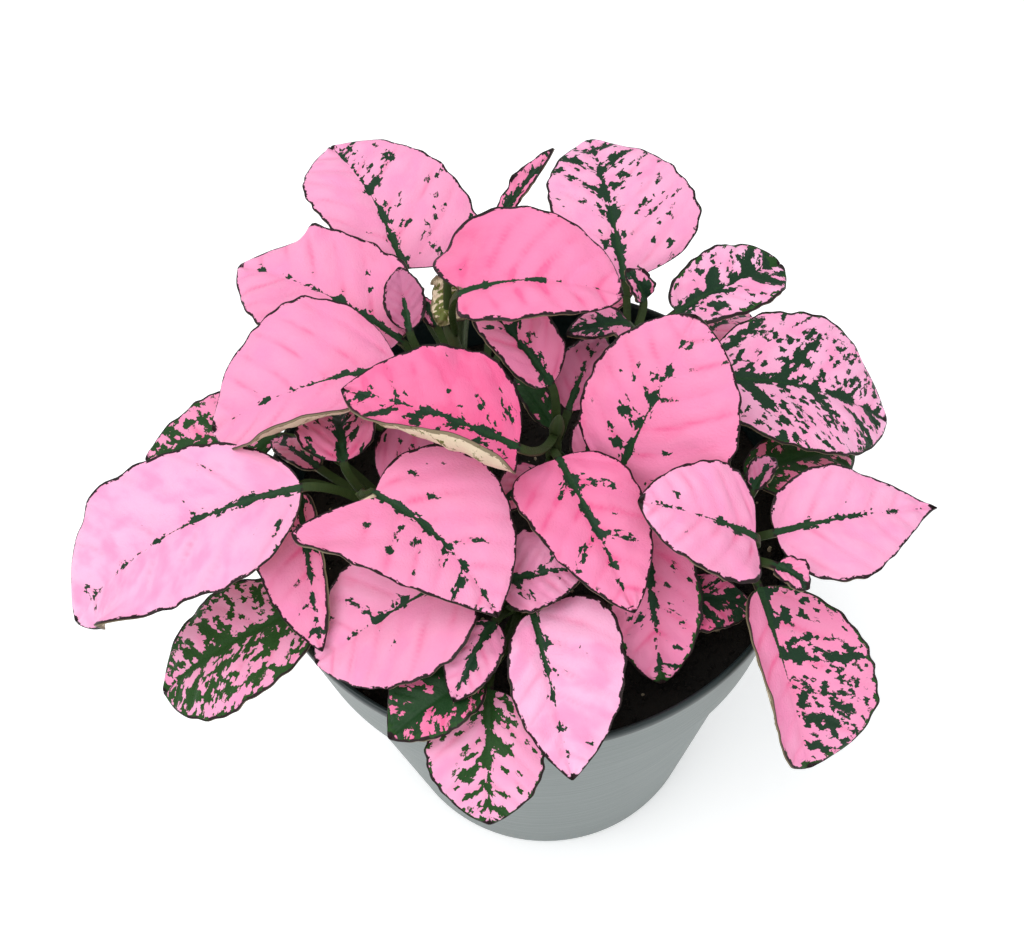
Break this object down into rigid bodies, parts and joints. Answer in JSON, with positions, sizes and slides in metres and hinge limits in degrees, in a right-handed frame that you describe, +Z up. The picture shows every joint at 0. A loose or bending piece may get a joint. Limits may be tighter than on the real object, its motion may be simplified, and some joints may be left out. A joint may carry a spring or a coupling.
{
  "type": "potted polka dot plant",
  "caption": "Bushy polka dot plant with pink, green-splashed leaves in a tapered grey nursery pot with a deep rim band.",
  "frame": {"origin": "centre of the pot's base, on the surface it stands on", "axes": "+Z up along the pot's axis, -Y towards the viewer, +X to the viewer's right"},
  "size_m": [0.1598, 0.1352, 0.1576],
  "materials": {
    "pot_plastic": "satin moulded plastic, green-grey outside and near-black at the lip and inside",
    "potting_mix": "damp dark potting mix with a few tan granules",
    "stem": "soft green stem with a fine down",
    "leaf_pink": "satin pink leaf with dark green blotches along the veins and a thin dark margin, cream below",
    "leaf_green": "satin leaf, green with pink splashes, cream below"
  },
  "bodies": {
    "root": {"pot": "pot_plastic", "soil": "potting_mix", "stem_left": "stem", "stem_centre": "stem", "stem_right_rear": "stem", "stem_left_rear": "stem", "stem_right": "stem", "stem_front": "stem", "back_left_fan": "leaf_pink", "back_right_fan": "leaf_pink", "back_edge": "leaf_pink", "right_back": "leaf_pink", "right_broad": "leaf_green", "centre_right": "leaf_pink", "under_right": "leaf_green", "right_pointed": "leaf_pink", "right_inward": "leaf_pink", "right_bud": "leaf_pink", "right_young": "leaf_pink", "right_hanging": "leaf_green", "right_inner": "leaf_pink", "front_right": "leaf_pink", "centre_diagonal": "leaf_pink", "centre_pale": "leaf_pink", "front_main": "leaf_pink", "front_low": "leaf_green", "front_shade": "leaf_pink", "front_young": "leaf_pink", "front_left": "leaf_pink", "left_heart": "leaf_pink", "left_behind": "leaf_pink", "left_narrow": "leaf_pink", "left_green": "leaf_green", "left_large": "leaf_pink", "left_far": "leaf_green", "back_left_fold": "leaf_pink", "left_upper": "leaf_pink", "centre_left": "leaf_pink", "top_centre": "leaf_pink", "dark_fold": "leaf_pink", "centre_rear": "leaf_pink", "centre_lobe": "leaf_pink", "centre_green": "leaf_pink", "rear_spotted": "leaf_pink", "rear_bud": "leaf_pink", "dusky_rear": "leaf_pink", "rear_young": "leaf_pink", "rear_new": "leaf_pink", "left_rosette": "leaf_pink", "centre_bud": "leaf_pink", "left_slip": "leaf_pink", "rear_low": "leaf_pink", "rear_low_left": "leaf_pink", "rear_low_right": "leaf_pink", "rear_inner": "leaf_pink", "rear_low_side": "leaf_pink", "left_low_rear": "leaf_pink"}
  },
  "joints": []
}
